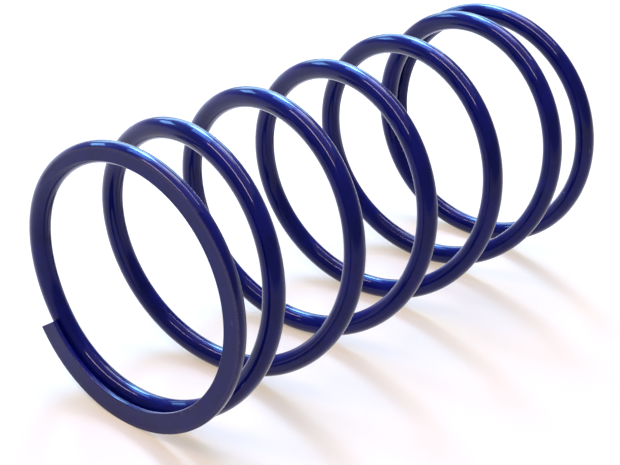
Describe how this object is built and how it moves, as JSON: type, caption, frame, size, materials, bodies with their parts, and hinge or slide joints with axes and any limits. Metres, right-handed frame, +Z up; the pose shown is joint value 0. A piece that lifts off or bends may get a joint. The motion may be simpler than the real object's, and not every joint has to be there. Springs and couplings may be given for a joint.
{
  "type": "coil spring",
  "caption": "Blue painted compression coil spring of round wire, with closed and ground ends, that shortens along its axis between two flat spring seats.",
  "frame": {"origin": "centre of the near end's ground seat, on the coil's axis", "axes": "+Y along the coil's axis from the near seat to the far seat, +Z up as the spring lies on its side"},
  "size_m": [0.162, 0.342, 0.162],
  "materials": {
    "blue_paint": "gloss"
  },
  "bodies": {
    "near_end_coil": {"near_end_bottom": "blue_paint", "near_end_right": "blue_paint", "near_end_top": "blue_paint", "near_end_left": "blue_paint", "coil_2_bottom": "blue_paint"},
    "coil_2_right_length": {"coil_2_right": "blue_paint"},
    "coil_2_top_length": {"coil_2_top": "blue_paint"},
    "coil_2_left_length": {"coil_2_left": "blue_paint"},
    "coil_3_bottom_length": {"coil_3_bottom": "blue_paint"},
    "coil_3_right_length": {"coil_3_right": "blue_paint"},
    "coil_3_top_length": {"coil_3_top": "blue_paint"},
    "coil_3_left_length": {"coil_3_left": "blue_paint"},
    "coil_4_bottom_length": {"coil_4_bottom": "blue_paint"},
    "coil_4_right_length": {"coil_4_right": "blue_paint"},
    "coil_4_top_length": {"coil_4_top": "blue_paint"},
    "coil_4_left_length": {"coil_4_left": "blue_paint"},
    "coil_5_bottom_length": {"coil_5_bottom": "blue_paint"},
    "coil_5_right_length": {"coil_5_right": "blue_paint"},
    "coil_5_top_length": {"coil_5_top": "blue_paint"},
    "coil_5_left_length": {"coil_5_left": "blue_paint"},
    "coil_6_bottom_length": {"coil_6_bottom": "blue_paint"},
    "coil_6_right_length": {"coil_6_right": "blue_paint"},
    "coil_6_top_length": {"coil_6_top": "blue_paint"},
    "far_end_coil": {"coil_6_left": "blue_paint", "far_end_bottom": "blue_paint", "far_end_right": "blue_paint", "far_end_top": "blue_paint", "far_end_left": "blue_paint"}
  },
  "joints": [
    {"name": "compression", "type": "slide", "parent": "near_end_coil", "child": "far_end_coil", "axis": [0, -1, 0], "range_m": [0, 0.23], "stiffness_N_per_m": 12200},
    {"name": "coil_2_right_travel", "type": "slide", "parent": "near_end_coil", "child": "coil_2_right_length", "axis": [0, -1, 0], "range_m": [0, 0.007]},
    {"name": "coil_2_top_travel", "type": "slide", "parent": "near_end_coil", "child": "coil_2_top_length", "axis": [0, -1, 0], "range_m": [0, 0.0197]},
    {"name": "coil_2_left_travel", "type": "slide", "parent": "near_end_coil", "child": "coil_2_left_length", "axis": [0, -1, 0], "range_m": [0, 0.0324]},
    {"name": "coil_3_bottom_travel", "type": "slide", "parent": "near_end_coil", "child": "coil_3_bottom_length", "axis": [0, -1, 0], "range_m": [0, 0.0452]},
    {"name": "coil_3_right_travel", "type": "slide", "parent": "near_end_coil", "child": "coil_3_right_length", "axis": [0, -1, 0], "range_m": [0, 0.0579]},
    {"name": "coil_3_top_travel", "type": "slide", "parent": "near_end_coil", "child": "coil_3_top_length", "axis": [0, -1, 0], "range_m": [0, 0.0706]},
    {"name": "coil_3_left_travel", "type": "slide", "parent": "near_end_coil", "child": "coil_3_left_length", "axis": [0, -1, 0], "range_m": [0, 0.0833]},
    {"name": "coil_4_bottom_travel", "type": "slide", "parent": "near_end_coil", "child": "coil_4_bottom_length", "axis": [0, -1, 0], "range_m": [0, 0.096]},
    {"name": "coil_4_right_travel", "type": "slide", "parent": "near_end_coil", "child": "coil_4_right_length", "axis": [0, -1, 0], "range_m": [0, 0.1088]},
    {"name": "coil_4_top_travel", "type": "slide", "parent": "near_end_coil", "child": "coil_4_top_length", "axis": [0, -1, 0], "range_m": [0, 0.1214]},
    {"name": "coil_4_left_travel", "type": "slide", "parent": "near_end_coil", "child": "coil_4_left_length", "axis": [0, -1, 0], "range_m": [0, 0.1342]},
    {"name": "coil_5_bottom_travel", "type": "slide", "parent": "near_end_coil", "child": "coil_5_bottom_length", "axis": [0, -1, 0], "range_m": [0, 0.1469]},
    {"name": "coil_5_right_travel", "type": "slide", "parent": "near_end_coil", "child": "coil_5_right_length", "axis": [0, -1, 0], "range_m": [0, 0.1596]},
    {"name": "coil_5_top_travel", "type": "slide", "parent": "near_end_coil", "child": "coil_5_top_length", "axis": [0, -1, 0], "range_m": [0, 0.1723]},
    {"name": "coil_5_left_travel", "type": "slide", "parent": "near_end_coil", "child": "coil_5_left_length", "axis": [0, -1, 0], "range_m": [0, 0.185]},
    {"name": "coil_6_bottom_travel", "type": "slide", "parent": "near_end_coil", "child": "coil_6_bottom_length", "axis": [0, -1, 0], "range_m": [0, 0.1978]},
    {"name": "coil_6_right_travel", "type": "slide", "parent": "near_end_coil", "child": "coil_6_right_length", "axis": [0, -1, 0], "range_m": [0, 0.2105]},
    {"name": "coil_6_top_travel", "type": "slide", "parent": "near_end_coil", "child": "coil_6_top_length", "axis": [0, -1, 0], "range_m": [0, 0.2232]}
  ],
  "couplings": [
    {"joint": "coil_2_right_travel", "follows": "compression", "ratio": 0.0302},
    {"joint": "coil_2_top_travel", "follows": "compression", "ratio": 0.0854},
    {"joint": "coil_2_left_travel", "follows": "compression", "ratio": 0.1406},
    {"joint": "coil_3_bottom_travel", "follows": "compression", "ratio": 0.1959},
    {"joint": "coil_3_right_travel", "follows": "compression", "ratio": 0.2512},
    {"joint": "coil_3_top_travel", "follows": "compression", "ratio": 0.3065},
    {"joint": "coil_3_left_travel", "follows": "compression", "ratio": 0.3618},
    {"joint": "coil_4_bottom_travel", "follows": "compression", "ratio": 0.4171},
    {"joint": "coil_4_right_travel", "follows": "compression", "ratio": 0.4724},
    {"joint": "coil_4_top_travel", "follows": "compression", "ratio": 0.5276},
    {"joint": "coil_4_left_travel", "follows": "compression", "ratio": 0.5829},
    {"joint": "coil_5_bottom_travel", "follows": "compression", "ratio": 0.6382},
    {"joint": "coil_5_right_travel", "follows": "compression", "ratio": 0.6935},
    {"joint": "coil_5_top_travel", "follows": "compression", "ratio": 0.7488},
    {"joint": "coil_5_left_travel", "follows": "compression", "ratio": 0.8041},
    {"joint": "coil_6_bottom_travel", "follows": "compression", "ratio": 0.8594},
    {"joint": "coil_6_right_travel", "follows": "compression", "ratio": 0.9146},
    {"joint": "coil_6_top_travel", "follows": "compression", "ratio": 0.9698}
  ]
}
